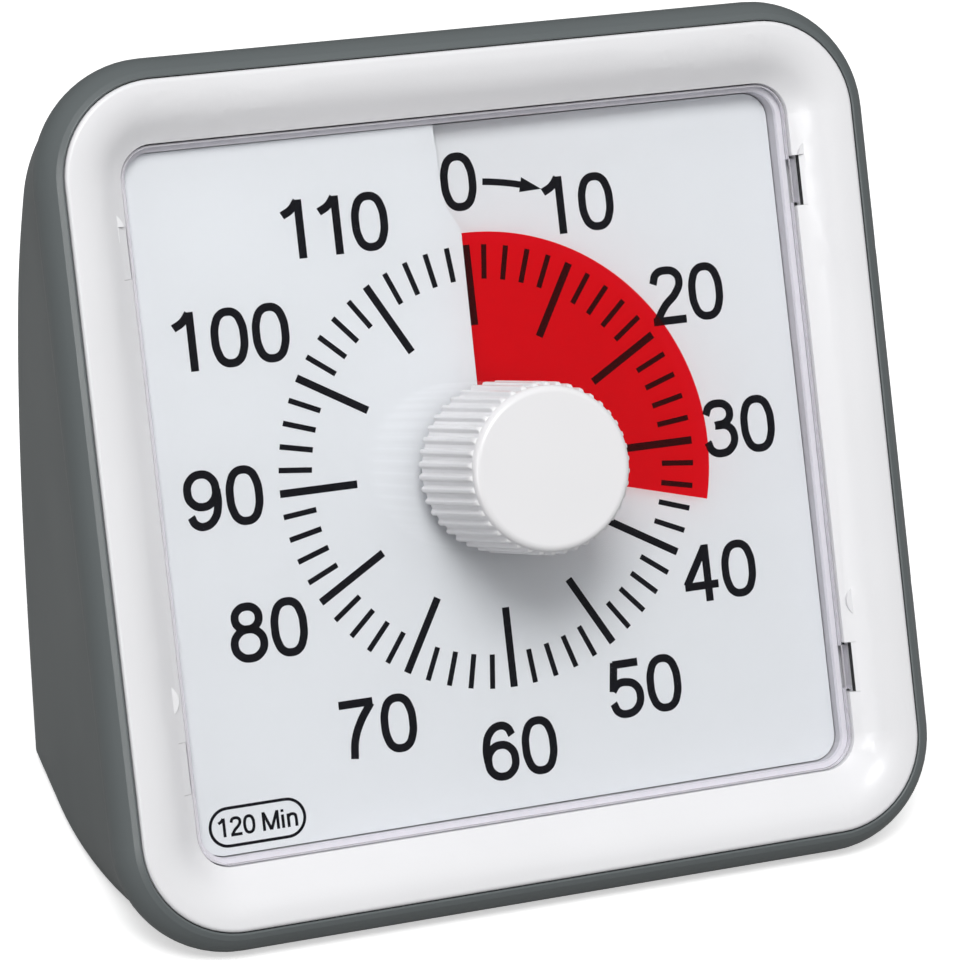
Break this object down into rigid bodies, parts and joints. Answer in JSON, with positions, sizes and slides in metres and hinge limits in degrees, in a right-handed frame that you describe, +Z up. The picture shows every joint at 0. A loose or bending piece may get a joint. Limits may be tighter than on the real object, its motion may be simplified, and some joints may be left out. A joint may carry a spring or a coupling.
{
  "type": "visual countdown timer",
  "caption": "Square desk timer with a leaning dial, central knob, slit spiral dial card and a red disc that shows the time left.",
  "frame": {"origin": "centre of the footprint on the surface that it stands on", "axes": "+X to the right as seen from the front, +Y to the back, +Z up; the dial faces -Y and leans back 24 degrees"},
  "size_m": [0.1432, 0.0832, 0.1324],
  "materials": {
    "front_bezel": "moulded white, soft sheen",
    "clear_window": "clear polished acrylic",
    "dial_card": "white printed card",
    "red_disc": "clear red film",
    "disc_hub": "white",
    "knob": "moulded white, soft sheen",
    "knob_shaft": "turned steel",
    "dial_carrier": "moulded",
    "movement_cover": "moulded",
    "movement_box": "moulded",
    "drive_wheel": "moulded natural",
    "second_wheel": "moulded natural",
    "motor_core": "stamped laminations",
    "motor_coil": "enamelled winding",
    "rotor": "magnet",
    "circuit_board": "lacquered board",
    "case_shell": "moulded grey, fine satin texture",
    "battery_tray": "moulded",
    "battery_cell": "printed wrap",
    "contact_plate": "nickel-plated",
    "contact_spring": "nickel-plated wire",
    "spring_plate": "nickel-plated",
    "battery_door": "moulded grey, fine satin texture",
    "buzzer_cup": "moulded",
    "buzzer_disc": "plain",
    "switch_body": "moulded",
    "switch_slider": "moulded",
    "rubber_feet": "plain",
    "case_screws": "plated",
    "cover_screws": "plated"
  },
  "bodies": {
    "housing": {"front_bezel": "front_bezel", "clear_window": "clear_window", "dial_card": "dial_card", "dial_carrier": "dial_carrier", "movement_cover": "movement_cover", "movement_box": "movement_box", "motor_core": "motor_core", "motor_coil": "motor_coil", "circuit_board": "circuit_board", "case_shell": "case_shell", "battery_tray": "battery_tray", "battery_cell": "battery_cell", "contact_plate": "contact_plate", "contact_spring": "contact_spring", "spring_plate": "spring_plate", "buzzer_cup": "buzzer_cup", "buzzer_disc": "buzzer_disc", "switch_body": "switch_body", "rubber_feet": "rubber_feet", "case_screws": "case_screws", "cover_screws": "cover_screws"},
    "knob_set": {"knob": "knob", "knob_shaft": "knob_shaft", "disc_hub": "disc_hub", "red_disc": "red_disc", "drive_wheel": "drive_wheel"},
    "second_wheel_set": {"second_wheel": "second_wheel"},
    "rotor_set": {"rotor": "rotor"},
    "door": {"battery_door": "battery_door"},
    "slider": {"switch_slider": "switch_slider"}
  },
  "joints": [
    {"name": "knob_turn", "type": "hinge", "parent": "housing", "child": "knob_set", "pos_m": [0, -0.00591, 0.0652], "axis": [0, 0.9135, -0.4067], "range_deg": [-111, 243], "deforming": ["red_disc"]},
    {"name": "second_wheel_turn", "type": "hinge", "parent": "housing", "child": "second_wheel_set", "pos_m": [-0.01697, -0.00185, 0.04482], "axis": [0, 0.9135, -0.4067], "continuous": true},
    {"name": "rotor_spin", "type": "hinge", "parent": "housing", "child": "rotor_set", "pos_m": [0.013, 0.00649, 0.05224], "axis": [0, 0.9135, -0.4067], "continuous": true},
    {"name": "door_open", "type": "hinge", "parent": "housing", "child": "door", "pos_m": [0, 0.03687, 0.01455], "axis": [-1, 0, 0], "range_deg": [0, 90]},
    {"name": "volume_slide", "type": "slide", "parent": "housing", "child": "slider", "axis": [1, 0, 0], "range_m": [-0.0035, 0.0035]}
  ],
  "couplings": [
    {"joint": "second_wheel_turn", "follows": "knob_turn", "ratio": -3}
  ]
}
